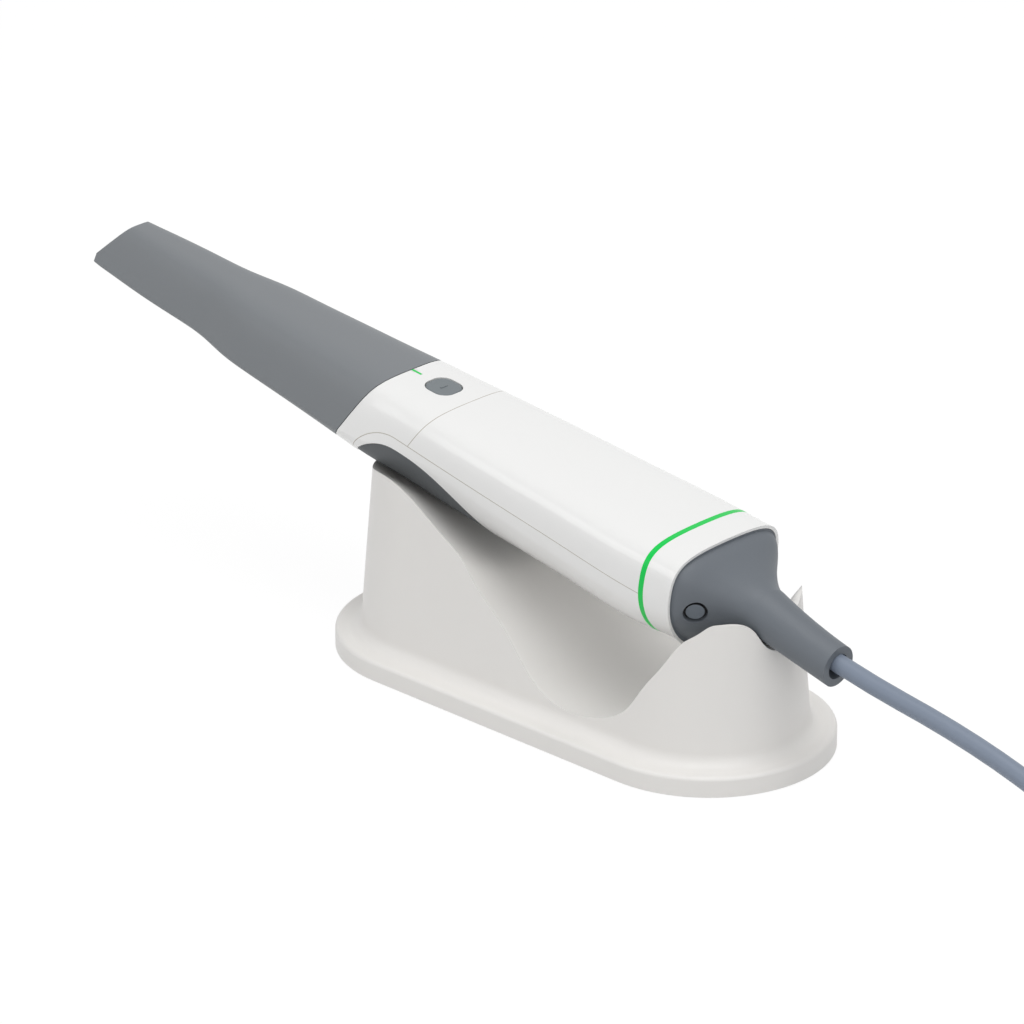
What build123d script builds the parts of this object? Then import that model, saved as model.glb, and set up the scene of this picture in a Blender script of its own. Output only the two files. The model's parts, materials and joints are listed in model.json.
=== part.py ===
from build123d import *
import os
from functools import cache
from math import copysign, cos, pi, radians, sin, sqrt, tan

os.makedirs("parts", exist_ok=True)

# Handheld scanner lying in its cradle. Millimetres, Z up, X towards the cable end.
# The origin is the middle of the cradle's underside.
# The scanner is drawn in its own frame first: x along it from the tip seam towards the tail,
# y across it, z up from its top line. scanner_place then lays it in the cradle.

# Scanner, overall
tip_length = 118.0
body_length = 119.3
body_half_width = 22.1
body_depth = 33.0
scanner_tilt = 7.25
seam_x = -65.3
seat_height = 44.6
seam_z = seat_height + body_depth
scanner_place = Location((seam_x, 0, seam_z), (0, scanner_tilt, 0))

# Walls, gaps and slants shared by the covers
shell_wall = 2.0
tip_wall = 1.9
tip_fit = 0.1
seam_gap = 0.3
fit_gap = 0.1
edge_gap = 0.15
touch_gap = 0.05
seam_slant = 28.0
cross_seam_back = 23.4
overrun = 60.0
far_reach = 240.0
lap = 12.0
seam_lap = 20.0
round_full = 4 / 3 * (sqrt(2) - 1)
right_angle = 90.0

# Outer skin, one row per place along the scanner: place along (share of the tip's length before
# the seam, of the body's length behind it), half width, waist (share of the depth there), depth,
# narrowing of the upper half, and how full its upper and lower corners are (0.55 is an ellipse).
skin_shares = [
    (-1.000, 0.424, 0.85, 0.440, 0.22, 0.99, 0.61),
    (-0.955, 0.440, 0.84, 0.462, 0.22, 0.99, 0.61),
    (-0.848, 0.485, 0.83, 0.492, 0.21, 0.99, 0.61),
    (-0.712, 0.528, 0.83, 0.514, 0.20, 0.99, 0.61),
    (-0.595, 0.570, 0.83, 0.538, 0.195, 0.99, 0.61),
    (-0.500, 0.672, 0.82, 0.570, 0.19, 0.99, 0.61),
    (-0.398, 0.722, 0.80, 0.605, 0.195, 0.99, 0.61),
    (-0.211, 0.792, 0.76, 0.660, 0.185, 0.97, 0.61),
    (-0.085, 0.836, 0.705, 0.720, 0.175, 0.96, 0.61),
    (0.000, 0.853, 0.62, 0.786, 0.14, 0.94, 0.61),
    (0.092, 0.846, 0.52, 0.846, 0.09, 0.91, 0.58),
    (0.200, 0.856, 0.44, 0.896, 0.04, 0.87, 0.58),
    (0.420, 0.905, 0.39, 0.948, 0.00, 0.84, 0.55),
    (0.670, 0.960, 0.37, 0.986, 0.00, 0.84, 0.55),
    (0.889, 0.998, 0.36, 1.000, 0.00, 0.84, 0.55),
    (1.000, 0.995, 0.37, 0.990, 0.00, 0.84, 0.55),
]

# Slip-on tip
nose_top_back = 8.3
nose_rake = 51.0
window_length = 16.0
window_width = 13.0
window_back = 2.6
window_top_share = 0.36
mirror_thick = 1.0
mirror_length = 12.4

# Snout that the tip slides on
snout_reach = 48.0
snout_wall = 1.5
snout_inside = 6.0
lens_glass = 1.5

# Parting line between the covers and the lower housing
parting_front = 5.0
parting_height = 9.8
parting_fall = 2.35
parting_radius = 17.0

# Grip pad let into the belly
pad_thick = 1.2
pad_recess = 0.25
grip_length = 61.0
grip_start = 4.5
grip_top = 13.7
grip_depth_shares = [(0.00, 1.72), (0.085, 1.30), (0.155, 1.11), (0.232, 1.01), (0.32, 1.00),
                     (0.47, 1.08), (0.62, 1.28), (0.74, 1.54), (0.84, 1.86), (1.0, 2.60)]

# Button and alignment mark
button_back = 12.6
button_size = 9.4
button_corner = 3.6
button_gap = 0.2
button_travel = 0.6
button_skirt = 3.0
button_flange = 1.0
button_flange_thick = 0.8
button_sink = 0.1
button_bar_length = 2.6
button_bar_width = 0.5
button_bar_height = 0.15
button_edge = 0.5
mark_length = 3.6
mark_width = 0.75
mark_depth = 0.8

# Light ring and end bezel
ring_back = 10.9
ring_front = body_length - ring_back
ring_width = 1.7
ring_depth = 4.0
bezel_lip = 0.8
bezel_rebate = 3.2

# Tail cap with its cable boot: place behind the tail face, half width, top, waist and bottom
cap_inset = 0.9
cap_ledge = 0.3
cap_reach = 42.5
flare_width = body_half_width - cap_inset
flare_drop = 3.6
flare_depth = body_depth - flare_drop
cap_shares = [
    (0.040, 0.935, 0.078, 0.400, 0.995, 0.81, 0.55),
    (0.125, 0.755, 0.146, 0.440, 0.905, 0.75, 0.55),
    (0.215, 0.560, 0.212, 0.475, 0.812, 0.69, 0.55),
    (0.300, 0.418, 0.262, 0.500, 0.752, 0.61, 0.55),
    (0.400, 0.338, 0.292, 0.530, 0.758, 0.55, 0.55),
]
boot_radius_near = 6.6
boot_radius_end = 5.9
boot_mid_back = 28.6
boot_mid_low = 17.8
boot_end_low = 19.9
boot_bore = 3.65
boot_bore_depth = 20.0

# Screw plugs in the flare
plug_back = 5.0
plug_side = 16.2
plug_low = 15.3
plug_radius = 2.55
plug_foot = 3.35
plug_foot_thick = 1.4
plug_depth = 3.0
plug_yaw = 45.0
plug_pitch = 11.5
tail_screw_length = 12.0
tail_screw_radius = 1.1
tail_screw_head = 2.2
tail_screw_head_thick = 1.6

# Optics, boards and frame inside
bulkhead_back = 16.0
bulkhead_thick = 2.0
bulkhead_top = 9.0
bulkhead_gap = 0.25
chassis_front = bulkhead_back + bulkhead_thick
chassis_end_gap = 19.3
chassis_length = body_length - chassis_end_gap - chassis_front
chassis_half_width = 10.4
chassis_wall = 1.6
chassis_floor_clear = 9.2
chassis_floor_low = body_depth - chassis_floor_clear
chassis_floor_thick = 2.0
board_low = 8.6
board_thick = 1.6
board_back = 24.0
board_length = body_length - chassis_end_gap - board_back
board_half_width = 13.5
chip_size = 11.0
chip_thick = 1.4
chip_count = 3
chip_pitch_share = 0.29
projector_length_share = 0.244
projector_length = chassis_length * projector_length_share
projector_half_width = 7.6
projector_gap = 0.8
projector_height = chassis_floor_low - chassis_floor_thick - board_low - projector_gap
projector_lens_share = 0.387
projector_lens_radius = projector_height * projector_lens_share
projector_place_share = 0.68
optic_low = chassis_floor_low - chassis_floor_thick - projector_height / 2
camera_side = 9.0
camera_width = 6.0
camera_height = 7.0
camera_length = 7.0
camera_lens_radius = 2.6
camera_lens_length = 6.0
sink_length_share = 0.415
sink_length = chassis_length * sink_length_share
sink_half_width = 8.6
sink_drop = 1.9
sink_height = projector_height - sink_drop
sink_base = 2.0
fin_thick = 1.0
fin_count = 6
ring_board_thick = 1.1
ring_board_width = 2.3
harness_straight = 8.4
harness_radius = 1.6
harness_bend = 2.4
case_screw_radius = 1.0
case_screw_head = 1.9
case_screw_head_thick = 1.2
case_screw_length = 4.6
case_screw_side = 6.7
case_screw_front = 8.0
case_screw_back = 4.0
boss_radius = 2.6
button_board_size = 13.5
button_board_thick = 1.0
button_board_low = 5.9
switch_size = 4.0
switch_height = 1.6
switch_plunger = 1.2
switch_plunger_height = button_board_low - switch_height - button_skirt - button_travel - touch_gap
post_radius = 1.0

# Cable clamp at the cord's start
clamp_radius = 5.2
clamp_length = 6.0

# Cord, coil and plug
cord_diameter = 5.3
cord_start_inset = 2.3
cord_start_back = body_length - cord_start_inset
cord_start_low = 13.9
cord_route = [(138.0, 0.0, 31.4), (176.0, -3.0, 23.0), (205.0, -2.0, 11.0)]
coil_entry = (231.0, 13.0)
arc_run_share = 0.45
coil_radius = 30.0
coil_x = 205.0
coil_y = 44.0
coil_columns = 4
coil_layers = 2
coil_edge = 1.75
plug_body_length = 26.0
plug_body_width = 15.5
plug_body_height = 7.6
plug_body_edge = 1.6
plug_shell_length = 15.0
plug_shell_width = 12.0
plug_shell_height = 4.5
plug_shell_wall = 0.4
plug_tongue_thick = 1.9
plug_relief_length = 14.0
plug_relief_radius = 3.8
plug_relief_end = 3.3
tail_lead = 42.0

# Cradle
plate_half_length = 81.7
plate_half_width = 35.6
plate_top = 6.0
plate_edge = 1.1
pad_lift = 0.3
wall_setback = 7.2
wall_half_length = plate_half_length - wall_setback
wall_half_width = plate_half_width - wall_setback
wall_draft = 4.4
wall_top = 68.0
wall_fillet = 3.6
cradle_wall = 3.0
floor_inset = 4.5
floor_thick = 2.0
floor_gap = 0.15
mat_inset = 9.0
mat_thick = 1.3
column_radius = 4.0
column_setback = 26.7
column_x = plate_half_length - column_setback
column_y = 14.0
column_places = [(x, y) for x in (-column_x, column_x) for y in (-column_y, column_y)]
floor_screw_radius = 1.3
floor_screw_head = 2.6
floor_screw_head_thick = 1.0
floor_screw_length = 7.0

# Trough of the cradle: place along (share of its half length), height in the middle and rise
# (shares of the seat's height), power of the rise and where it rolls over (share of half width)
trough_half_length = 74.5
trough_half_width = 28.4
trough_width_share = 1.5
trough_steps = 8
trough_spacing = 1.5
trough_shares = [
    (-1.15, 1.152, 0.325, 2.2, 9.0),
    (-0.9, 1.127, 0.325, 2.2, 9.0),
    (-0.78, 1.072, 0.325, 2.2, 9.0),
    (-0.67, 1.034, 0.325, 2.2, 9.0),
    (-0.59, 0.985, 0.322, 2.2, 9.0),
    (-0.51, 0.920, 0.310, 2.2, 9.0),
    (-0.37, 0.800, 0.282, 2.2, 9.0),
    (-0.244, 0.659, 0.247, 2.2, 9.0),
    (-0.118, 0.506, 0.202, 2.2, 9.0),
    (0.03, 0.320, 0.134, 2.2, 9.0),
    (0.135, 0.226, 0.071, 2.2, 9.0),
    (0.27, 0.188, 0.045, 2.2, 9.0),
    (0.4, 0.207, 0.049, 2.2, 9.0),
    (0.497, 0.256, 0.063, 2.2, 9.0),
    (0.59, 0.364, 0.108, 2.2, 9.0),
    (0.672, 0.539, 0.146, 2.2, 9.0),
    (0.742, 0.717, 0.171, 2.2, 9.0),
    (0.813, 0.802, 0.322, 2.2, 9.0),
    (0.886, 0.846, 5.165, 3.0, 0.4),
    (0.966, 0.811, 7.086, 3.0, 0.36),
    (1.15, 0.766, 7.086, 3.0, 0.36),
]


def along(place):
    """Distance from the seam for a share of the tip (negative) or of the body (positive)."""
    if place < 0:
        return place * tip_length
    return place * body_length


def quarter(place, from_point, to_point, lean, fullness):
    """Quarter of an outline: from its side point, upright or leaning, to its flat middle point."""
    side_y, side_z = from_point
    middle_y, middle_z = to_point
    rise = middle_z - side_z
    first = (place, side_y - lean * fullness, side_z + rise * fullness)
    second = (place, (side_y - lean) * fullness, middle_z)
    return Bezier((place, side_y, side_z), first, second, (place, middle_y, middle_z))


def oval(place, half_width, top, waist, bottom, narrowing, upper_full, lower_full):
    """Closed outline across the scanner: two rounded halves that meet at the waist."""
    edges = []
    for side in (1, -1):
        point = (half_width * side, waist)
        edges.append(quarter(place, point, (0, top), narrowing * side, upper_full))
        edges.append(quarter(place, point, (0, bottom), 0, lower_full))
    return Face(Wire(edges))


@cache
def skin(inset):
    """The scanner's outer form from the nose to the tail face, drawn in by inset all round.

    An inner form is longer than the outer one, so that it leaves both ends open."""
    sections = []
    for place, width, waist, depth, narrowing, upper_full, lower_full in skin_shares:
        x = along(place) + copysign(inset / 2, place) * (abs(place) >= 1)
        bottom = inset - depth * body_depth
        middle = waist * (bottom + inset) - inset
        sections.append(oval(x, width * body_half_width - inset, -inset, middle, bottom,
                             narrowing * body_half_width, upper_full, lower_full))
    return loft(sections).solid()


def slab(front, back):
    """Everything between two planes square to the scanner."""
    block = Box(back - front, far_reach, far_reach, align=(Align.MIN, Align.CENTER, Align.CENTER))
    return Pos(front, 0, 0) * block


def band(outer_inset, inner_inset, front, back):
    """Wall between two insets of the outer form, from front to back and open at both ends."""
    outside = skin(outer_inset) & slab(front, back)
    return outside - (skin(inner_inset) & slab(front - lap, back + lap))


def behind(place):
    """Everything behind a slanted seam plane whose top is at place."""
    block = Box(far_reach, far_reach, far_reach, align=(Align.MIN, Align.CENTER, Align.CENTER))
    return Location((place, 0, 0), (0, seam_slant, 0)) * block


def side_block(outline):
    """A side view outline, drawn right through the scanner."""
    return extrude(make_face(Plane.XZ * outline), overrun, both=True)


def nose_cut(inset):
    """Everything ahead of the sloping nose, drawn in by inset."""
    block = Box(far_reach, far_reach, far_reach, align=(Align.MAX, Align.CENTER, Align.CENTER))
    place = nose_top_back - tip_length + inset / sin(radians(nose_rake))
    return Location((place, 0, 0), (0, right_angle - nose_rake, 0)) * block


def upper_block():
    """Everything above the parting line between the covers and the lower housing."""
    fall = tan(radians(parting_fall))
    far = body_length + overrun
    start = (-parting_front, -overrun)
    corner = (-parting_front, -parting_height)
    end = (far, -parting_height - (far + parting_front) * fall)
    line = FilletPolyline(start, corner, end, radius=parting_radius)
    rest = Polyline(end, (far, overrun), (-far_reach, overrun), (-far_reach, -overrun), start)
    return side_block(line + rest)


def grip_block(inset):
    """Everything below the upper edge of the grip pad."""
    points = []
    for place, low in grip_depth_shares:
        points.append((place * grip_length - grip_start, -low * grip_top - inset))
    edge = Spline(*points)
    rest = Polyline(points[-1], (points[-1][0], -overrun), (points[0][0], -overrun), points[0])
    return side_block(edge + rest)


def button_block(grow, low, high):
    """Rounded square of the button, between two heights."""
    side = button_size + grow * 2
    face = Pos(button_back, 0, low) * RectangleRounded(side, side, button_corner + grow)
    return extrude(face, high - low)


def upright(x, y, low, high, radius):
    """A round post or hole that stands up."""
    post = Cylinder(radius, high - low, align=(Align.CENTER, Align.CENTER, Align.MIN))
    return Pos(x, y, low) * post


def lengthwise(x, y, z, length, radius):
    """A round bar along the scanner, from x backwards."""
    bar = Cylinder(radius, length, align=(Align.CENTER, Align.CENTER, Align.MIN))
    return Location((x, y, z), (0, 90, 0)) * bar


def brick(x, y, z, length, width, height):
    """A box from x backwards and from z up, centred across at y."""
    block = Box(length, width, height, align=(Align.MIN, Align.CENTER, Align.MIN))
    return Pos(x, y, z) * block


def tip_sleeve():
    """Slip-on tip: a closed nose, a hollow sleeve and the scan window underneath."""
    sleeve = skin(0) - behind(0) - nose_cut(0)
    hollow = (skin(tip_wall) & slab(tip_wall - tip_length, overrun)) - nose_cut(tip_wall)
    window_top = body_depth * window_top_share
    window = brick(window_back - tip_length, 0, -body_depth, window_length, window_width,
                   body_depth - window_top)
    return sleeve - hollow - window


def tip_mirror():
    """Mirror bonded to the inner slope of the nose."""
    fall = radians(nose_rake)
    middle_x = nose_top_back - tip_length + tip_wall / sin(fall) - mirror_length / 2 * cos(fall)
    middle_z = -mirror_length / 2 * sin(fall)
    shift = mirror_thick / 2
    place = Location((middle_x + shift * sin(fall), 0, middle_z - shift * cos(fall)),
                     (0, -nose_rake, 0))
    plate = place * Box(mirror_length, window_width, mirror_thick)
    return plate & skin(tip_wall + touch_gap)


def snout():
    """Hollow snout that carries the tip, with a rebate for its front glass."""
    inset = tip_wall + tip_fit
    tube = band(inset, inset + snout_wall, -snout_reach, snout_inside)
    rebate = skin(inset + snout_wall / 2) & slab(-snout_reach - lens_glass, lens_glass - snout_reach)
    return tube - rebate


def snout_glass():
    """Clear window in the front of the snout."""
    inset = tip_wall + tip_fit + snout_wall / 2 + touch_gap
    return skin(inset) & slab(-snout_reach, lens_glass - snout_reach)


def front_collar():
    """White collar with the button hole, the mark's slot and posts for the button's board."""
    shell = band(0, shell_wall, -seam_lap, cross_seam_back + lap)
    collar = (shell & behind(seam_gap)) - behind(cross_seam_back)
    collar = collar & upper_block()
    collar = collar - button_block(button_gap, -body_depth / 2, shell_wall)
    reach = button_board_size / 2 - post_radius
    posts = []
    for side in (-1, 1):
        post = upright(button_back + reach, side * reach, -button_board_low, -shell_wall / 2, post_radius)
        posts.append(post)
    collar = collar + posts
    return collar - mark_block(touch_gap)


def mark_block(grow):
    """Inlaid alignment mark on the top line, just behind the seam."""
    return brick(seam_gap, 0, -mark_depth, mark_length + grow, mark_width + grow * 2, shell_wall)


def alignment_mark():
    """Coloured inlay that lines the tip up."""
    return (mark_block(0) & skin(0)) & behind(seam_gap)


def scan_button():
    """Button cap with a retaining flange and a raised bar to feel for."""
    top = -button_sink
    cap = button_block(0, -button_skirt, top)
    edge = cap.faces().sort_by(Axis.Z)[-1].edges()
    cap = fillet(edge, button_edge)
    flange_top = -shell_wall - edge_gap
    flange = button_block(button_flange, flange_top - button_flange_thick, flange_top)
    bar = brick(button_back - button_bar_width / 2, 0, top, button_bar_width, button_bar_length,
                button_bar_height)
    return cap + flange + bar


def button_board():
    """Small board under the button."""
    half = button_board_size / 2
    return brick(button_back - half, 0, -button_board_low - button_board_thick, button_board_size,
                 button_board_size, button_board_thick)


def button_switch():
    """Tactile switch with its plunger."""
    base = brick(button_back - switch_size / 2, 0, -button_board_low, switch_size, switch_size,
                 switch_height)
    top = switch_height - button_board_low
    return base + upright(button_back, 0, top, top + switch_plunger_height, switch_plunger)


def top_cover():
    """Long white cover from the collar to the light ring."""
    shell = band(0, shell_wall, lap, ring_front)
    return (shell & behind(cross_seam_back)) & upper_block()


def lower_housing():
    """White lower half, with the grip's recess and the bosses that carry the chassis."""
    shell = band(0, shell_wall, -seam_lap, ring_front)
    housing = (shell & behind(seam_gap)) - upper_block()
    housing = housing - (grip_block(0) - skin(pad_thick))
    floor = chassis_floor_thick - chassis_floor_low
    for x, y in case_screw_spots():
        boss = upright(x, y, -body_depth, -chassis_floor_low, boss_radius) & skin(pad_thick)
        hole = upright(x, y, floor - case_screw_length, 0, case_screw_radius)
        housing = (housing + boss) - hole
    return housing


def grip_pad():
    """Soft dark pad let into the belly."""
    pad = band(pad_recess, pad_thick, -seam_lap, grip_length + lap)
    return (pad & grip_block(edge_gap)) & behind(seam_gap)


def light_ring():
    """Light guide all round, just before the end bezel."""
    return band(0, ring_depth, ring_front, ring_front + ring_width)


def end_bezel():
    """White ring behind the light guide, rebated for the tail cap."""
    front = ring_front + ring_width
    rebate = skin(bezel_lip) & slab(body_length - bezel_rebate, body_length + overrun)
    return band(0, shell_wall, front, body_length) - rebate


def boot_sections():
    """Outlines of the tail cap's flare and of the cable boot behind it."""
    last = skin_shares[-1]
    inset = cap_inset + cap_ledge
    bottom = inset - last[3] * body_depth
    middle = last[2] * (bottom + inset) - inset
    sections = [oval(body_length - bezel_rebate / 2, last[1] * body_half_width - inset, -inset,
                     middle, bottom, 0, last[5], last[6])]
    for place, width, top, waist, bottom, upper_full, lower_full in cap_shares:
        section = oval(body_length + place * cap_reach, width * flare_width, -top * flare_depth,
                       -waist * flare_depth, -bottom * flare_depth, 0, upper_full, lower_full)
        sections.append(section)
    stops = [(boot_mid_back, boot_mid_low, (boot_radius_near + boot_radius_end) / 2),
             (cap_reach, boot_end_low, boot_radius_end)]
    for back, low, radius in stops:
        section = oval(body_length + back, radius, radius - low, -low, -radius - low, 0,
                       round_full, round_full)
        sections.append(section)
    return sections


def cord_line():
    """Unit direction of the cord inside the boot, from its start to the boot's end."""
    run = Vector(body_length + cap_reach - cord_start_back, 0, cord_start_low - boot_end_low)
    return run.normalized()


def cord_bar(radius, start, end):
    """A round bar on the cord's own line inside the boot, between two distances from its start."""
    line = cord_line()
    origin = Vector(cord_start_back, 0, -cord_start_low) + line * start
    return Plane(origin=origin, z_dir=line) * Cylinder(
        radius, end - start, align=(Align.CENTER, Align.CENTER, Align.MIN))


def plug_plane(side):
    """Plane on the flare where a screw plug sits, with its normal pointing out."""
    out = Vector(cos(radians(plug_yaw)), side * sin(radians(plug_yaw)), -sin(radians(plug_pitch)))
    return Plane(origin=(body_length + plug_back, side * plug_side, -plug_low), z_dir=out)


def tail_cap():
    """Soft tail cap and cable boot in one piece, bored for the cord, the clamp and the plugs."""
    rim = skin(cap_inset) & slab(body_length - bezel_rebate, body_length - touch_gap)
    outlines = boot_sections()
    split = len(cap_shares)
    cap = rim + loft(outlines[:split + 1]).solid()
    boot = loft(outlines[split:]).solid()
    reach = cap_reach + body_length - cord_start_back
    bores = [
        cord_bar(cord_diameter / 2 + touch_gap, -lap, reach + lap),
        cord_bar(boot_bore, reach - boot_bore_depth, reach + lap),
        cord_bar(clamp_radius + touch_gap, -lap, clamp_length),
    ]
    for bore in bores:
        cap = cap - bore
        boot = boot - bore
    for side in (-1, 1):
        spot = plug_plane(side)
        foot = upright(0, 0, -plug_depth, lap, plug_foot + touch_gap)
        hole = upright(0, 0, -plug_depth - tail_screw_length * 2, 0, tail_screw_radius + touch_gap)
        seat = upright(0, 0, -plug_depth - tail_screw_head_thick, 0, tail_screw_head + fit_gap)
        cap = cap - spot * foot - spot * hole - spot * seat
    return cap + boot


def screw_plugs():
    """Round plugs over the tail screws: a foot in the recess and a raised disc."""
    plugs = []
    for side in (-1, 1):
        foot = upright(0, 0, -plug_depth, plug_foot_thick - plug_depth, plug_foot)
        disc = upright(0, 0, -plug_depth, -plug_foot_thick / 2, plug_radius)
        plugs.append(plug_plane(side) * (foot + disc))
    return Compound(children=plugs)


def tail_screws():
    """Screws that pull the tail cap onto the tail frame."""
    screws = []
    for side in (-1, 1):
        low = -plug_depth - tail_screw_head_thick
        head = upright(0, 0, low, -plug_depth - touch_gap, tail_screw_head)
        shank = upright(0, 0, low - tail_screw_length, low, tail_screw_radius)
        screws.append(plug_plane(side) * (head + shank))
    return Compound(children=screws)


def tail_frame():
    """Inner frame in the bezel that the tail screws bite into."""
    frame = skin(shell_wall) & slab(ring_front + ring_width, body_length - bezel_rebate)
    frame = frame - cord_bar(cord_diameter / 2 + fit_gap, -lap, lap)
    for side in (-1, 1):
        low = -plug_depth - tail_screw_head_thick - tail_screw_length
        frame = frame - plug_plane(side) * upright(0, 0, low - touch_gap, 0, tail_screw_radius)
    return frame


def cable_clamp():
    """Clamp ring that grips the start of the cord."""
    return cord_bar(clamp_radius, 0, clamp_length) - cord_bar(cord_diameter / 2, 0, clamp_length)


def bulkhead():
    """Plate across the front of the chassis that carries the cameras."""
    plate = skin(shell_wall + bulkhead_gap) & slab(bulkhead_back, bulkhead_back + bulkhead_thick)
    top = brick(bulkhead_back, 0, -bulkhead_top, bulkhead_thick, overrun, overrun)
    hole = lengthwise(bulkhead_back, 0, -optic_low, bulkhead_thick, projector_lens_radius + fit_gap)
    return plate - top - hole


def camera(side):
    """One camera of the stereo pair: its box and its lens barrel, in front of the bulkhead."""
    low = -optic_low - camera_height / 2
    box = brick(bulkhead_back - camera_length, side * camera_side, low, camera_length, camera_width,
                camera_height)
    front = bulkhead_back - camera_length - camera_lens_length
    return box + lengthwise(front, side * camera_side, -optic_low, camera_lens_length,
                            camera_lens_radius)


def chassis():
    """Aluminium channel that carries the optics and the main board."""
    width = chassis_half_width * 2
    block = brick(chassis_front, 0, -chassis_floor_low, chassis_length, width,
                  chassis_floor_low - board_low)
    inside = brick(chassis_front, 0, chassis_floor_thick - chassis_floor_low, chassis_length,
                   width - chassis_wall * 2, chassis_floor_low)
    channel = block - inside
    for x, y in case_screw_spots():
        channel = channel - upright(x, y, -body_depth, 0, case_screw_radius)
    return channel


def case_screw_spots():
    """Where the chassis is screwed to the bosses of the lower housing."""
    places = (chassis_front + case_screw_front, chassis_front + chassis_length - case_screw_back)
    return [(place, side * case_screw_side) for place in places for side in (-1, 1)]


def case_screws():
    """Four screws through the chassis floor."""
    screws = []
    floor = chassis_floor_thick - chassis_floor_low
    for x, y in case_screw_spots():
        head = upright(x, y, floor, floor + case_screw_head_thick, case_screw_head)
        shank = upright(x, y, floor - case_screw_length, floor, case_screw_radius)
        screws.append(head + shank)
    return Compound(children=screws)


def projector():
    """Projector block on the chassis floor."""
    spare = chassis_length - projector_length - sink_length - fin_thick
    front = chassis_front + spare * projector_place_share
    return brick(front, 0, chassis_floor_thick - chassis_floor_low, projector_length,
                 projector_half_width * 2, projector_height)


def projector_lens():
    """Lens barrel from the projector through the bulkhead."""
    back = projector().bounding_box().min.X
    front = bulkhead_back - camera_length / 2
    return lengthwise(front, 0, -optic_low, back - front, projector_lens_radius)


def heat_sink():
    """Finned block behind the projector."""
    front = projector().bounding_box().max.X + fin_thick
    floor = chassis_floor_thick - chassis_floor_low
    sink = brick(front, 0, floor, sink_length, sink_half_width * 2, sink_base)
    pitch = (sink_half_width * 2 - fin_thick) / (fin_count - 1)
    for index in range(fin_count):
        y = fin_thick / 2 - sink_half_width + index * pitch
        sink = sink + brick(front, y, floor, sink_length, fin_thick, sink_height)
    return sink


def main_board():
    """Main board with its larger chips and the cable connector."""
    board = brick(board_back, 0, -board_low, board_length, board_half_width * 2, board_thick)
    top = board_thick - board_low
    for index in range(chip_count):
        x = board_back + chip_size / 2 + index * board_length * chip_pitch_share
        board = board + brick(x, 0, top, chip_size, chip_size, chip_thick)
    plug_x = board_back + board_length - chip_size / 2
    return board + brick(plug_x, 0, top, chip_size / 2, chip_size, chip_thick * 2)


def ring_board():
    """Ring of lamps against the light guide."""
    inner = shell_wall + ring_board_width
    return band(shell_wall, inner, ring_front - ring_board_thick, ring_front)


def inner_harness():
    """Wires from the cord's start to the connector on the main board."""
    line = cord_line()
    end = Vector(cord_start_back, 0, -cord_start_low)
    bend = end - line * harness_straight
    board_x = board_back + board_length
    top = board_thick - board_low + chip_thick
    path = FilletPolyline(end, bend, (board_x + chip_size / 2, 0, top), (board_x, 0, top),
                          radius=harness_bend)
    return sweep(Plane(origin=path @ 0, z_dir=path % 0) * Circle(harness_radius), path=path)


def route_points():
    """Where the cord runs, from its clamp to its coil, in the cradle's frame."""
    start = (scanner_place * Pos(cord_start_back, 0, -cord_start_low)).position
    exit_point = (scanner_place * Pos(body_length + cap_reach, 0, -boot_end_low)).position
    floor = cord_diameter / 2
    return [start, exit_point, *cord_route, (*coil_entry, floor),
            (coil_x + coil_radius, coil_y, floor)]


def print_radii(radii):
    """Say how wide the cord's arcs are."""
    for index, radius in enumerate(radii):
        print("cord arc at point", index + 1, "radius", round(radius, 1), "mm")


def arc_radii(points):
    """Largest arc that each corner's shorter run allows."""
    radii = []
    for index in range(1, len(points) - 1):
        before = points[index] - points[index - 1]
        after = points[index + 1] - points[index]
        half_turn = radians(before.get_angle(after)) / 2
        run = min(before.length, after.length)
        radii.append(arc_run_share * run / tan(half_turn))
    return radii


def cord_lead(coil):
    """Cord from the clamp down to the surface and into the coil."""
    points = [Vector(*point) for point in route_points()]
    radii = arc_radii(points)
    print_radii(radii)
    path = FilletPolyline(*points, radius=radii)
    circle = Plane(origin=path @ 0, z_dir=path % 0) * Circle(cord_diameter / 2)
    tube = sweep(circle, path=path)
    section = pi * (cord_diameter / 2) ** 2
    print("cord length", round(path.length, 1), "volume over section times length",
          round(tube.volume / (section * path.length), 4))
    return (tube - coil).solids().sort_by(Axis.X)[0]


def cord_coil():
    """Outer shape of the spare length, wound in a round coil."""
    half = coil_columns * cord_diameter / 2
    height = coil_layers * cord_diameter
    ring = Cylinder(coil_radius + half, height, align=(Align.CENTER, Align.CENTER, Align.MIN))
    hole = Cylinder(coil_radius - half, height, align=(Align.CENTER, Align.CENTER, Align.MIN))
    ring = fillet(ring.edges(), coil_edge)
    return Pos(coil_x, coil_y, 0) * (ring - hole)


def plug_spot():
    """Where the last of the cord ends in the plug's strain relief."""
    return (coil_x - tail_lead, coil_y + coil_radius, plug_body_height / 2)


def cord_tail(coil):
    """Last of the cord, from the coil to the face of the plug's strain relief."""
    x, y, z = plug_spot()
    floor = cord_diameter / 2
    points = [Vector(coil_x, y, floor), Vector(x + tail_lead / 2, y, floor), Vector(x, y, z)]
    path = FilletPolyline(*points, radius=arc_radii(points))
    circle = Plane(origin=path @ 0, z_dir=path % 0) * Circle(floor)
    tube = sweep(circle, path=path)
    return (tube - coil - plug_body()).solids().sort_by(Axis.X)[0]


def plug_body():
    """Moulded plug body and its tapered strain relief."""
    x, y, z = plug_spot()
    end = x - plug_relief_length
    body = Pos(end - plug_body_length / 2, y, z) * Box(plug_body_length, plug_body_width,
                                                      plug_body_height)
    body = fillet(body.edges(), plug_body_edge)
    relief = Cone(plug_relief_radius, plug_relief_end, plug_relief_length,
                  align=(Align.CENTER, Align.CENTER, Align.MIN))
    relief = Location((end, y, z), (0, 90, 0)) * relief
    return body + relief


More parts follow.
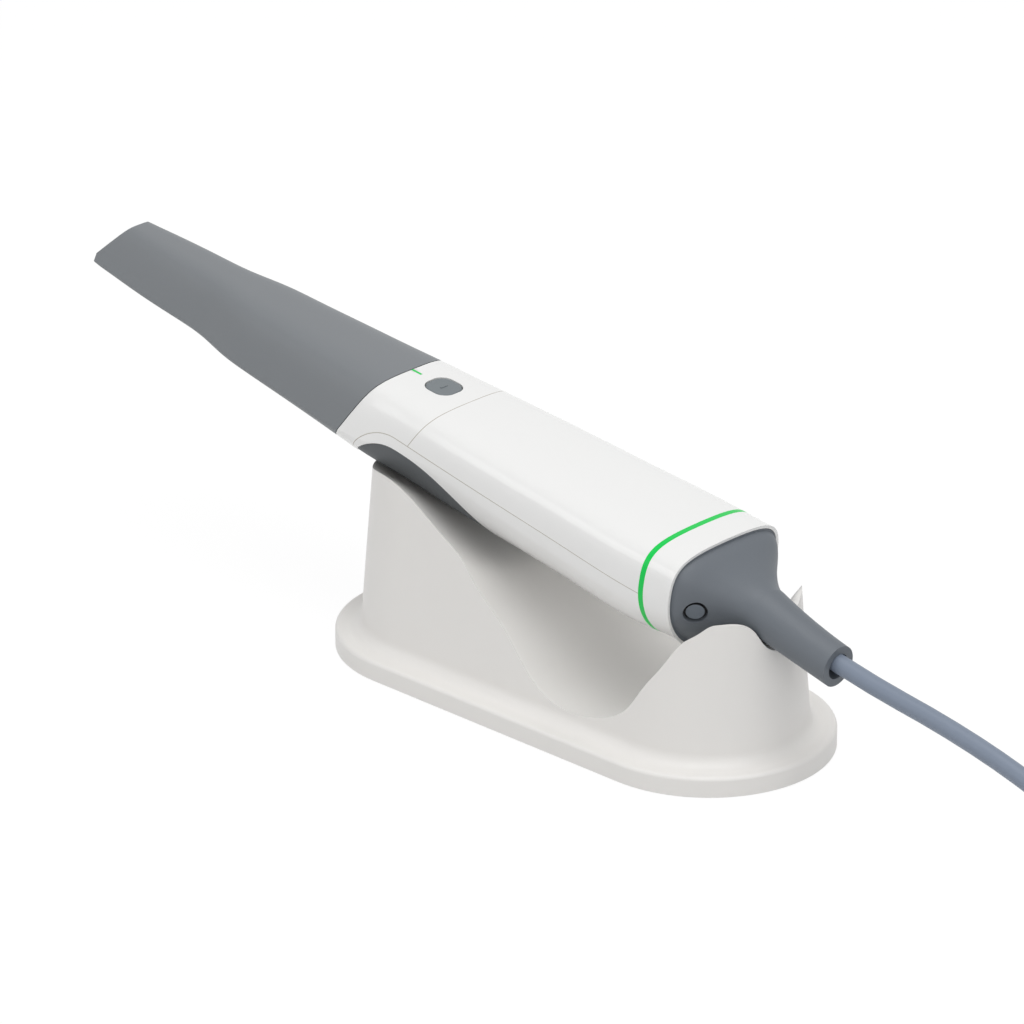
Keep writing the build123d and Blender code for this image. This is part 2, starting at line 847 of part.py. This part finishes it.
def plug_shell():
    """Metal shell of the plug with its tongue."""
    x, y, z = plug_spot()
    front = x - plug_relief_length - plug_body_length
    middle = front - plug_shell_length / 2
    shell = Pos(middle, y, z) * Box(plug_shell_length, plug_shell_width, plug_shell_height)
    inside = plug_shell_wall * 2
    hollow = Pos(middle - plug_shell_wall, y, z) * Box(plug_shell_length, plug_shell_width - inside,
                                                       plug_shell_height - inside)
    return shell - hollow


def plug_tongue():
    """Insulating tongue inside the plug's shell."""
    x, y, z = plug_spot()
    front = x - plug_relief_length - plug_body_length
    length = plug_shell_length - plug_shell_wall * 2
    low = z - plug_shell_height / 2 + plug_shell_wall
    tongue = Box(length, plug_shell_width - plug_shell_wall * 2 - touch_gap * 2, plug_tongue_thick,
                 align=(Align.MAX, Align.CENTER, Align.MIN))
    return Pos(front - plug_shell_wall, y, low) * tongue


def stadium(half_length, half_width, low, high, draft=0):
    """Long plate with round ends, standing between two heights."""
    face = Pos(0, 0, low) * SlotOverall(half_length * 2, half_width * 2)
    return extrude(face, high - low, taper=draft)


def trough(drop):
    """Everything above the trough's floor, lowered by drop."""
    sections = []
    reach = trough_half_width * trough_width_share
    for place, middle, rise, power, rollover in trough_shares:
        x = place * trough_half_length
        points = []
        for step in range(-trough_steps, trough_steps + 1):
            y = copysign(reach * abs(step / trough_steps) ** trough_spacing, step)
            share = abs(y / trough_half_width)
            lift = rise * share ** power / (1 + (share / rollover) ** (power + 1))
            points.append((x, y, (middle + lift) * seat_height - drop))
        floor = Spline(*points)
        top = far_reach
        rest = Polyline(points[-1], (x, reach, top), (x, -reach, top), points[0])
        sections.append(Face(Wire(floor.edges() + rest.edges())))
    return loft(sections).solid()


def cradle():
    """Cradle moulding: plate, drafted wall and trough, hollow underneath."""
    plate = stadium(plate_half_length, plate_half_width, pad_lift, plate_top)
    plate = fillet(plate.faces().sort_by(Axis.Z)[-1].edges(), plate_edge)
    block = plate + stadium(wall_half_length, wall_half_width, plate_top, wall_top, wall_draft)
    foot = block.edges().filter_by(lambda edge: abs(edge.center().Z - plate_top) < touch_gap)
    foot = foot.filter_by(lambda edge: edge.bounding_box().size.Z < touch_gap)
    inner = foot.filter_by(lambda edge: abs(edge.center().Y) < plate_half_width - plate_edge * 2)
    block = fillet(inner, wall_fillet)
    block = block - trough(0)
    cavity = stadium(wall_half_length - cradle_wall, wall_half_width - cradle_wall, 0, wall_top,
                     wall_draft)
    cavity = cavity - trough(cradle_wall)
    recess = stadium(plate_half_length - floor_inset, plate_half_width - floor_inset, 0,
                     pad_lift + floor_thick)
    cavity = cavity + recess
    for x, y in column_places:
        column = upright(x, y, pad_lift + floor_thick, wall_top, column_radius)
        cavity = cavity - column
        cavity = cavity + upright(x, y, 0, pad_lift + floor_screw_length, floor_screw_radius)
    return block - cavity


def cradle_floor():
    """Cover under the cradle, let into its underside."""
    inset = floor_inset + floor_gap
    cover = stadium(plate_half_length - inset, plate_half_width - inset, pad_lift,
                    pad_lift + floor_thick)
    cover = cover - stadium(plate_half_length - mat_inset, plate_half_width - mat_inset, 0, mat_thick)
    for x, y in column_places:
        cover = cover - upright(x, y, 0, wall_top, floor_screw_radius)
    return cover


def cradle_mat():
    """Non-slip mat that the cradle stands on."""
    inset = mat_inset + floor_gap
    mat = stadium(plate_half_length - inset, plate_half_width - inset, 0, mat_thick)
    for x, y in column_places:
        mat = mat - upright(x, y, 0, mat_thick, floor_screw_head + floor_gap)
    return mat


def floor_screws():
    """Four screws that hold the cover, their heads under the mat's holes."""
    screws = []
    for x, y in column_places:
        head = upright(x, y, mat_thick - floor_screw_head_thick, mat_thick, floor_screw_head)
        shank = upright(x, y, mat_thick, floor_screw_length, floor_screw_radius)
        screws.append(head + shank)
    return Compound(children=screws)


def save(name, shape, place=None):
    """Write one sub-part, laid in place where it belongs to the scanner."""
    if place is not None:
        shape = place * shape
    if len(shape.solids()) == 1:
        shape = shape.solid()
    export_step(shape, f"parts/{name}.step")


def build_scanner():
    """Every piece of the scanner, drawn straight and laid in the cradle."""
    pieces = {
        "tip_sleeve": tip_sleeve(),
        "tip_mirror": tip_mirror(),
        "snout": snout(),
        "snout_glass": snout_glass(),
        "front_collar": front_collar(),
        "alignment_mark": alignment_mark(),
        "scan_button": scan_button(),
        "button_switch": button_switch(),
        "button_board": button_board(),
        "top_cover": top_cover(),
        "lower_housing": lower_housing(),
        "grip_pad": grip_pad(),
        "light_ring": light_ring(),
        "ring_board": ring_board(),
        "end_bezel": end_bezel(),
        "tail_frame": tail_frame(),
        "tail_cap": tail_cap(),
        "screw_plugs": screw_plugs(),
        "tail_screws": tail_screws(),
        "cable_clamp": cable_clamp(),
        "inner_harness": inner_harness(),
        "bulkhead": bulkhead(),
        "camera_left": camera(1),
        "camera_right": camera(-1),
        "chassis": chassis(),
        "case_screws": case_screws(),
        "projector": projector(),
        "projector_lens": projector_lens(),
        "heat_sink": heat_sink(),
        "main_board": main_board(),
    }
    for name, shape in pieces.items():
        save(name, shape, scanner_place)


def build_cord():
    """The cord, its coil and its plug."""
    coil = cord_coil()
    save("cord_lead", cord_lead(coil))
    save("cord_coil", coil)
    save("cord_tail", cord_tail(coil))
    save("plug_body", plug_body())
    save("plug_shell", plug_shell())
    save("plug_tongue", plug_tongue())


def build_cradle():
    """The cradle, its floor, its mat and its screws."""
    save("cradle", cradle())
    save("cradle_floor", cradle_floor())
    save("cradle_mat", cradle_mat())
    save("floor_screws", floor_screws())


build_scanner()
build_cord()
build_cradle()
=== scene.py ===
import bpy
import json
from math import cos, pi, radians, sin
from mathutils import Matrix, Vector


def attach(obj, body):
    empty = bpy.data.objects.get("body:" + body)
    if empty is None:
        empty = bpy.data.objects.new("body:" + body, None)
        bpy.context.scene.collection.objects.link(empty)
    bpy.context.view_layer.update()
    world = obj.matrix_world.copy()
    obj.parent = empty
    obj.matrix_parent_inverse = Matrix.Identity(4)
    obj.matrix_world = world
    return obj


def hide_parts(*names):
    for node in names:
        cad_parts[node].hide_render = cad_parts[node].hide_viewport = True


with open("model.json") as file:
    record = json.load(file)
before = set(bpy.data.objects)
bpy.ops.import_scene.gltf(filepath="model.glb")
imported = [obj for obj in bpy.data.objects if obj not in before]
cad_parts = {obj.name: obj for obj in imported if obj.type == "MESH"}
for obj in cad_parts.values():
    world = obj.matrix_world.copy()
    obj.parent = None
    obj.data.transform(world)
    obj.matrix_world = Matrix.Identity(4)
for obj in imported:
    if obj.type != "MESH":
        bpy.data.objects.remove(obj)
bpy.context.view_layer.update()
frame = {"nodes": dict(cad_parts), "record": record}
nodes = frame["nodes"]

# Lengths are in metres. This first group repeats the part's source.
SEAM = Vector((-0.0653, 0.0, 0.0776))
TILT = radians(7.25)
CORD = 0.0053
CLAMP_END = (0.117, 0, -0.0139)
BOOT_END = (0.1618, 0, -0.0199)
LEAD_ROUTE = [(0.138, 0, 0.0314), (0.176, -0.003, 0.023), (0.205, -0.002, 0.011)]
COIL_ENTRY = (0.231, 0.013)
COIL_CENTRE = (0.205, 0.044)
COIL_RADIUS = 0.030
COIL_COLUMNS = 4
COIL_LAYERS = 2
SCREW_PLUG_PLACE = (0.1243, 0.0162, -0.0153)
SCREW_PLUG_YAW = radians(45)
SCREW_PLUG_PITCH = radians(11.5)

# The cord: its real length, and how its line is drawn.
TURN_POINTS = 16
OPEN_TURN = 0.75        # what the last turn leaves out before it runs to the plug
CLIMB_TURNS = 0.5       # how much of a turn the climb to the upper layer takes
SPLINE_INSET = 0.988    # the spline runs inside its points, so the coil's lie further out
TAIL_ROUTE = [(0.190, 0.081, 0.0076), (0.177, 0.0765, 0.0042), (0.163, 0.074, 0.0038)]
CORD_SIDES = 6
CORD_STEPS = 5

# Seam shade painted as dark lines into the white covers, along and below the scanner's top line.
CROSS_SEAM = 0.0234
CROSS_SLANT = radians(28)
PARTING_FRONT = 0.005
PARTING_HEIGHT = 0.0098
PARTING_FALL = radians(2.35)
PARTING_RADIUS = 0.017
PARTING_BEND = (0.012, -0.0275)
RING_FRONT = 0.1084
# the seam lines below are painted shade
SEAM_LINE = 0.00012     # half the width of a line
BEYOND = 1.0            # further off than any point of the scanner
# how far in a face of a screw plug lies before it takes the painted shade
SCREW_PLUG_SUNK = 0.0009

# What every moulded surface shares.
CLOUD_SCALE = 45.0
CLOUD_DETAIL = 4.0
GRAIN_DETAIL = 3.0
GRAIN_DEPTH = 0.0001
COAT_ROUGHNESS = 0.06
SMOOTHEST = 0.02
BRUSH_STRETCH = (0.05, 1.0, 1.0)
GLASS_IOR = 1.5

# The stage, the lamps and the camera.
WHITE = (1, 1, 1, 1)
FLOOR_REACH = 6.0
FLOOR_COLOUR = (0.8, 0.8, 0.8, 1)
FLOOR_ROUGHNESS = 0.9
FLOOR_GLOW = 1.06
FLOOR_GLOW_SHARE = 0.88
WORLD_LIGHT = 0.45
WORLD_SEEN = 1.0
LAMPS = [
    # name, place, width and height, power in watts
    ("above", (0.15, -0.1, 1.1), (0.9, 0.9), 6.0),
    ("right", (1.0, -0.5, 0.6), (0.6, 0.6), 1.9),
    ("left", (-0.6, -1.0, 0.6), (0.6, 0.6), 1.3),
]
LAMP_TARGET = (-0.03, 0, 0.05)
CAMERA_TARGET = (-0.0268, 0, 0.0459)
CAMERA_DISTANCE = 1.871
CAMERA_AZIMUTH = radians(43.54)
CAMERA_ELEVATION = radians(23.88)
CAMERA_LENS = 238.1
CAMERA_SENSOR = 36.0
CAMERA_NEAR = 0.01
CAMERA_FAR = 20.0


def on_scanner(x, y, z):
    """A point given along, across and above the scanner, in the row frame."""
    return SEAM + Vector((x * cos(TILT) + z * sin(TILT), y, -x * sin(TILT) + z * cos(TILT)))


def linear(value):
    """One 8 bit colour value as a linear one."""
    v = value / 255
    return v / 12.92 if v <= 0.04045 else ((v + 0.055) / 1.055) ** 2.4


def shade(red, green, blue):
    """A colour given in 8 bit values, as the shader takes it."""
    return (linear(red), linear(green), linear(blue), 1.0)


def moulded(name, colour, rough, grain=2500.0, bump=0.05, vary=0.04, coat=0.0, metallic=0.0,
            rough_vary=0.06, speculars=0.5):
    """A moulded surface: fine grain in the bump, cloudy roughness and a slight drift of colour."""
    m = bpy.data.materials.new(name)
    m.use_nodes = True
    tree = m.node_tree
    out = tree.nodes["Principled BSDF"]
    out.inputs["Metallic"].default_value = metallic
    out.inputs["Coat Weight"].default_value = coat
    out.inputs["Coat Roughness"].default_value = COAT_ROUGHNESS
    out.inputs["Specular IOR Level"].default_value = speculars
    place = tree.nodes.new("ShaderNodeTexCoord")
    place.name = "place"
    cloud = tree.nodes.new("ShaderNodeTexNoise")
    cloud.inputs["Scale"].default_value = CLOUD_SCALE
    cloud.inputs["Detail"].default_value = CLOUD_DETAIL
    fine = tree.nodes.new("ShaderNodeTexNoise")
    fine.name = "grain"
    fine.inputs["Scale"].default_value = grain
    fine.inputs["Detail"].default_value = GRAIN_DETAIL
    tree.links.new(place.outputs["Object"], cloud.inputs["Vector"])
    tree.links.new(place.outputs["Object"], fine.inputs["Vector"])
    mix = tree.nodes.new("ShaderNodeMix")
    mix.data_type = "RGBA"
    mix.inputs["A"].default_value = [c * (1 - vary) for c in colour[:3]] + [1]
    mix.inputs["B"].default_value = [min(1.0, c * (1 + vary)) for c in colour[:3]] + [1]
    tree.links.new(cloud.outputs["Fac"], mix.inputs["Factor"])
    tree.links.new(mix.outputs["Result"], out.inputs["Base Color"])
    ramp = tree.nodes.new("ShaderNodeMapRange")
    ramp.inputs["To Min"].default_value = max(SMOOTHEST, rough - rough_vary)
    ramp.inputs["To Max"].default_value = min(1.0, rough + rough_vary)
    tree.links.new(cloud.outputs["Fac"], ramp.inputs["Value"])
    tree.links.new(ramp.outputs["Result"], out.inputs["Roughness"])
    relief = tree.nodes.new("ShaderNodeBump")
    relief.inputs["Strength"].default_value = bump
    relief.inputs["Distance"].default_value = GRAIN_DEPTH
    tree.links.new(fine.outputs["Fac"], relief.inputs["Height"])
    tree.links.new(relief.outputs["Normal"], out.inputs["Normal"])
    return m


def paint_seam_shade(m):
    """Painted shade along the seams where the covers meet, as planes in the scanner's own frame.
    """
    tree = m.node_tree
    place = tree.nodes.new("ShaderNodeNewGeometry")
    along = plane_distance(tree, place, (1, 0, 0), (0, 0, 0))
    across = plane_distance(tree, place, (cos(CROSS_SLANT), 0, -sin(CROSS_SLANT)),
                            (CROSS_SEAM, 0, 0))
    above = plane_distance(tree, place, (sin(PARTING_FALL), 0, cos(PARTING_FALL)),
                           (-PARTING_FRONT, 0, -PARTING_HEIGHT))
    cross = band_mask(tree, across, -SEAM_LINE, SEAM_LINE)
    cross = combine(tree, "MULTIPLY", cross, band_mask(tree, above, 0, BEYOND))
    parting = band_mask(tree, above, -SEAM_LINE, SEAM_LINE)
    bend_x, bend_z = PARTING_BEND
    parting = combine(tree, "MULTIPLY", parting, band_mask(tree, along, bend_x, RING_FRONT))
    reach = combine(tree, "SUBTRACT", along, bend_x)
    rise = combine(tree, "SUBTRACT", plane_distance(tree, place, (0, 0, 1), (0, 0, 0)), bend_z)
    square = combine(tree, "ADD", squared(tree, reach), squared(tree, rise))
    bend = band_mask(tree, combine(tree, "SQRT", square), PARTING_RADIUS - SEAM_LINE,
                     PARTING_RADIUS + SEAM_LINE)
    bend = combine(tree, "MULTIPLY", bend, band_mask(tree, along, -BEYOND, bend_x))
    bend = combine(tree, "MULTIPLY", bend, band_mask(tree, rise, 0, BEYOND))
    line = combine(tree, "MAXIMUM", combine(tree, "MAXIMUM", cross, parting), bend)
    out = tree.nodes["Principled BSDF"]
    colour = out.inputs["Base Color"].links[0].from_socket
    # Painted shade: where a seam line falls, the cover's colour is mixed toward a darker tone.
    painted_shade = tree.nodes.new("ShaderNodeMix")
    painted_shade.data_type = "RGBA"
    painted_shade.inputs["B"].default_value = shade(186, 180, 170)
    tree.links.new(colour, painted_shade.inputs["A"])
    tree.links.new(line, painted_shade.inputs["Factor"])
    tree.links.new(painted_shade.outputs["Result"], out.inputs["Base Color"])


def plane_distance(tree, place, normal, point):
    """Distance of the shaded point from a plane given in the scanner's own frame."""
    way = on_scanner(*normal) - SEAM
    spot = on_scanner(*point)
    dot = tree.nodes.new("ShaderNodeVectorMath")
    dot.operation = "DOT_PRODUCT"
    dot.inputs[1].default_value = way
    tree.links.new(place.outputs["Position"], dot.inputs[0])
    return combine(tree, "SUBTRACT", dot.outputs["Value"], way.dot(spot))


def band_mask(tree, value, low, high):
    """One between two distances and zero outside them."""
    above = combine(tree, "GREATER_THAN", value, low)
    below = combine(tree, "LESS_THAN", value, high)
    return combine(tree, "MULTIPLY", above, below)


def squared(tree, value):
    """A distance times itself, whichever its sign."""
    return combine(tree, "POWER", combine(tree, "ABSOLUTE", value), 2)


def combine(tree, operation, first, second=0):
    """A maths node on one or two values, each a socket or a number."""
    node = tree.nodes.new("ShaderNodeMath")
    node.operation = operation
    for socket, value in zip(node.inputs, (first, second)):
        if isinstance(value, (int, float)):
            socket.default_value = value
        else:
            tree.links.new(value, socket)
    return node.outputs[0]


def brushed(name, colour, rough):
    """Turned or drawn metal with fine lines along one way."""
    m = moulded(name, colour, rough, grain=900.0, bump=0.15, metallic=1.0)
    tree = m.node_tree
    stretch = tree.nodes.new("ShaderNodeMapping")
    stretch.inputs["Scale"].default_value = BRUSH_STRETCH
    tree.links.new(tree.nodes["place"].outputs["Object"], stretch.inputs["Vector"])
    tree.links.new(stretch.outputs["Vector"], tree.nodes["grain"].inputs["Vector"])
    return m


def clear_glass(name):
    """Clear window glass, seen through."""
    m = moulded(name, (0.95, 0.97, 0.97, 1), rough=0.03, bump=0.0, rough_vary=0.01)
    out = m.node_tree.nodes["Principled BSDF"]
    out.inputs["Transmission Weight"].default_value = 1.0
    out.inputs["IOR"].default_value = GLASS_IOR
    return m


MATERIALS = {
    "tip_grey": moulded("tip_grey", shade(121, 125, 129), rough=0.42, grain=6000, bump=0.25,
                        vary=0.02),
    "mirror": moulded("mirror", (0.9, 0.92, 0.93, 1), rough=0.05, metallic=1.0, bump=0.0,
                      rough_vary=0.02),
    "dark_plastic": moulded("dark_plastic", shade(38, 39, 41), rough=0.5, grain=4000, bump=0.3,
                            vary=0.1),
    "glass": clear_glass("glass"),
    "white_gloss": moulded("white_gloss", shade(241, 241, 240), rough=0.15, grain=700, bump=0.01,
                           vary=0.006, coat=0.4, rough_vary=0.03),
    "green": moulded("green", shade(0, 208, 84), rough=0.3, grain=1500, bump=0.05, vary=0.05,
                     speculars=0.25),
    "button_grey": moulded("button_grey", shade(113, 120, 124), rough=0.45, grain=6000, bump=0.2,
                           vary=0.03),
    "board": moulded("board", shade(20, 92, 52), rough=0.4, grain=3000, bump=0.1, vary=0.2),
    "pad_grey": moulded("pad_grey", shade(88, 92, 95), rough=0.6, grain=5000, bump=0.35,
                        vary=0.05),
    "boot_grey": moulded("boot_grey", shade(102, 108, 115), rough=0.5, grain=6000, bump=0.3,
                         vary=0.04),
    "plug_grey": moulded("plug_grey", shade(110, 118, 127), rough=0.5, grain=5000, bump=0.2,
                         vary=0.04),
    "steel": brushed("steel", (0.62, 0.62, 0.63, 1), rough=0.3),
    "aluminium": brushed("aluminium", (0.75, 0.75, 0.76, 1), rough=0.35),
    "cord_grey": moulded("cord_grey", shade(124, 135, 152), rough=0.45, grain=4000, bump=0.15,
                         vary=0.04),
    "cradle_grey": moulded("cradle_grey", shade(236, 234, 231), rough=0.42, grain=3500, bump=0.12,
                           vary=0.01),
    "mat": moulded("mat", shade(60, 60, 60), rough=0.8, grain=3000, bump=0.6, vary=0.1),
}


def dress_nodes():
    """Every carried CAD node gets its slot's material."""
    for part in frame["record"]["subparts"]:
        node = nodes[part["node"]]
        node.data.materials.clear()
        node.data.materials.append(MATERIALS[part["material_slot"]])


def paint_plug_groove_shade():
    """Painted shade: the sunken rim round each screw plug takes the dark plastic colour."""
    plugs = nodes["screw_plugs"]
    mesh = plugs.data
    # Dark plastic on the sunken faces is painted shade for the gap round the plug.
    mesh.materials.append(MATERIALS["dark_plastic"])
    painted_shade = len(mesh.materials) - 1
    x, y, z = SCREW_PLUG_PLACE
    for side in (-1, 1):
        out = Vector((cos(SCREW_PLUG_YAW), side * sin(SCREW_PLUG_YAW),
                      -sin(SCREW_PLUG_PITCH))).normalized()
        way = on_scanner(*out) - SEAM
        spot = on_scanner(x, side * y, z)
        for face in mesh.polygons:
            centre = plugs.matrix_world @ face.center
            if centre.y * side > 0 and (centre - spot).dot(way) < -SCREW_PLUG_SUNK:
                face.material_index = painted_shade


def lead_points():
    """The cord from its clamp to the coil, as the part's source has it."""
    return [on_scanner(*CLAMP_END), on_scanner(*BOOT_END), *LEAD_ROUTE, (*COIL_ENTRY, CORD / 2)]


def coil_points():
    """Turns of the coil: inwards along the floor, then outwards on top of them."""
    points = []
    outer = COIL_RADIUS + (COIL_COLUMNS - 1) / 2 * CORD
    steps = int((COIL_COLUMNS * COIL_LAYERS - OPEN_TURN) * TURN_POINTS)
    for step in range(steps + 1):
        turn = step / TURN_POINTS
        layer = min(int(turn // COIL_COLUMNS), COIL_LAYERS - 1)
        column = min(turn - layer * COIL_COLUMNS, COIL_COLUMNS - 1)
        lift = 1.0
        if layer == 0:
            lift = min(1.0, max(0.0, (turn - COIL_COLUMNS + 1) / CLIMB_TURNS))
        else:
            column = COIL_COLUMNS - 1 - column
        radius = (outer - column * CORD) / SPLINE_INSET
        angle = 2 * pi * turn
        points.append((COIL_CENTRE[0] + radius * cos(angle), COIL_CENTRE[1] + radius * sin(angle),
                       CORD / 2 + CORD * lift))
    return points


def nurbs(name, points, radius, material):
    """A smooth tube along the points."""
    curve = bpy.data.curves.new(name, "CURVE")
    curve.dimensions = "3D"
    curve.bevel_depth = radius
    curve.bevel_resolution = CORD_SIDES
    curve.resolution_u = CORD_STEPS
    curve.use_fill_caps = True
    line = curve.splines.new("NURBS")
    line.points.add(len(points) - 1)
    for spot, point in zip(line.points, points):
        spot.co = (*point, 1)
    line.order_u = 3
    line.use_endpoint_u = True
    obj = bpy.data.objects.new(name, curve)
    bpy.context.scene.collection.objects.link(obj)
    curve.materials.append(material)
    return obj


def make_cord():
    points = [tuple(p) for p in lead_points() + coil_points() + TAIL_ROUTE]
    cord = nurbs("scanner_cord", points, CORD / 2, MATERIALS["cord_grey"])
    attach(cord, "root")
    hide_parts("cord_lead", "cord_coil", "cord_tail")


def seen_rays(tree):
    """One for rays that show the background: to the camera, in gloss and through glass."""
    rays = tree.nodes.new("ShaderNodeLightPath")
    mirrored = combine(tree, "MAXIMUM", rays.outputs["Is Glossy Ray"],
                       rays.outputs["Is Transmission Ray"])
    return combine(tree, "MAXIMUM", rays.outputs["Is Camera Ray"], mirrored)


def make_floor():
    """Pale floor that shows the shadow and looks near white to the camera."""
    mesh = bpy.data.meshes.new("floor")
    r = FLOOR_REACH
    mesh.from_pydata([(-r, -r, 0), (r, -r, 0), (r, r, 0), (-r, r, 0)], [], [(0, 1, 2, 3)])
    floor = bpy.data.objects.new("floor", mesh)
    bpy.context.scene.collection.objects.link(floor)
    m = bpy.data.materials.new("floor")
    m.use_nodes = True
    tree = m.node_tree
    out = tree.nodes["Material Output"]
    body = tree.nodes["Principled BSDF"]
    body.inputs["Base Color"].default_value = FLOOR_COLOUR
    body.inputs["Roughness"].default_value = FLOOR_ROUGHNESS
    body.inputs["Specular IOR Level"].default_value = 0.0
    pale = tree.nodes.new("ShaderNodeEmission")
    pale.inputs["Color"].default_value = WHITE
    pale.inputs["Strength"].default_value = FLOOR_GLOW
    mix = tree.nodes.new("ShaderNodeMixShader")
    tree.links.new(combine(tree, "MULTIPLY", seen_rays(tree), FLOOR_GLOW_SHARE), mix.inputs[0])
    tree.links.new(body.outputs[0], mix.inputs[1])
    tree.links.new(pale.outputs[0], mix.inputs[2])
    tree.links.new(mix.outputs[0], out.inputs["Surface"])
    mesh.materials.append(m)


def make_world():
    """White to the camera and in reflections, a plain even light otherwise."""
    world = bpy.data.worlds.new("studio")
    bpy.context.scene.world = world
    world.use_nodes = True
    tree = world.node_tree
    tree.nodes.clear()
    out = tree.nodes.new("ShaderNodeOutputWorld")
    mix = tree.nodes.new("ShaderNodeMixShader")
    tree.links.new(seen_rays(tree), mix.inputs[0])
    for socket, strength in ((1, WORLD_LIGHT), (2, WORLD_SEEN)):
        light = tree.nodes.new("ShaderNodeBackground")
        light.inputs["Color"].default_value = WHITE
        light.inputs["Strength"].default_value = strength
        tree.links.new(light.outputs[0], mix.inputs[socket])
    tree.links.new(mix.outputs[0], out.inputs["Surface"])


def make_lamp(name, place, size, power):
    """A soft rectangular lamp that faces the scanner."""
    data = bpy.data.lights.new(name, "AREA")
    data.shape = "RECTANGLE"
    data.size, data.size_y = size
    data.energy = power
    obj = bpy.data.objects.new(name, data)
    obj.location = place
    obj.rotation_mode = "QUATERNION"
    obj.rotation_quaternion = (Vector(LAMP_TARGET) - Vector(place)).to_track_quat("-Z", "Y")
    bpy.context.scene.collection.objects.link(obj)


def make_camera():
    """The camera at the photograph's viewing angle."""
    data = bpy.data.cameras.new("camera")
    data.lens = CAMERA_LENS
    data.sensor_width = CAMERA_SENSOR
    data.clip_start, data.clip_end = CAMERA_NEAR, CAMERA_FAR
    cam = bpy.data.objects.new("camera", data)
    a, e = CAMERA_AZIMUTH, CAMERA_ELEVATION
    back = Vector((sin(a) * cos(e), -cos(a) * cos(e), sin(e)))
    cam.location = Vector(CAMERA_TARGET) + back * CAMERA_DISTANCE
    cam.rotation_mode = "QUATERNION"
    cam.rotation_quaternion = (-back).to_track_quat("-Z", "Y")
    bpy.context.scene.collection.objects.link(cam)
    bpy.context.scene.camera = cam


make_camera()
paint_seam_shade(MATERIALS["white_gloss"])
dress_nodes()
paint_plug_groove_shade()
make_cord()
make_floor()
make_world()
for lamp in LAMPS:
    make_lamp(*lamp)
bpy.context.scene.view_settings.view_transform = "Standard"
